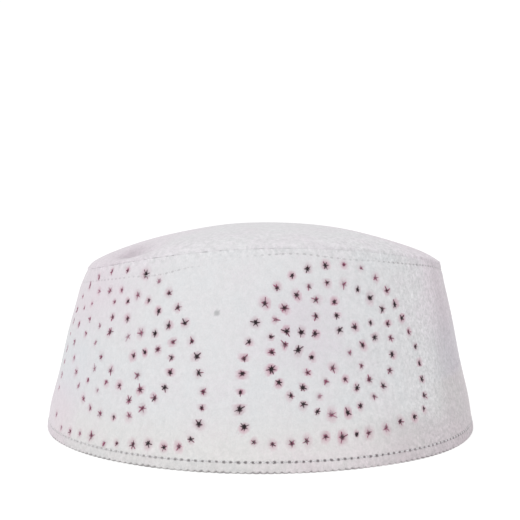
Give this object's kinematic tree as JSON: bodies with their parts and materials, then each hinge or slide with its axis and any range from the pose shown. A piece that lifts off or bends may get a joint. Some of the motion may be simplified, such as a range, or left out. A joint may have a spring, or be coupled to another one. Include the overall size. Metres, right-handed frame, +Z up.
{
  "type": "prayer cap",
  "caption": "Stiff pale cloth prayer cap: a shallow domed crown in a tapered oval band with a turned-up hem and star-stitched motifs.",
  "frame": {"origin": "middle of the rim's oval, on the surface that the cap rests on", "axes": "+Z up from the rim to the crown, the front faces -Y, +X is to the right when the cap is seen from its front"},
  "size_m": [0.1798, 0.1942, 0.083],
  "materials": {
    "crown_cloth": "napped, matt",
    "band_cloth": "napped, matt, with maroon star stitches",
    "hem_cloth": "napped, matt"
  },
  "bodies": {
    "root": {"crown": "crown_cloth", "band": "band_cloth", "bottom_hem": "hem_cloth"}
  },
  "joints": []
}
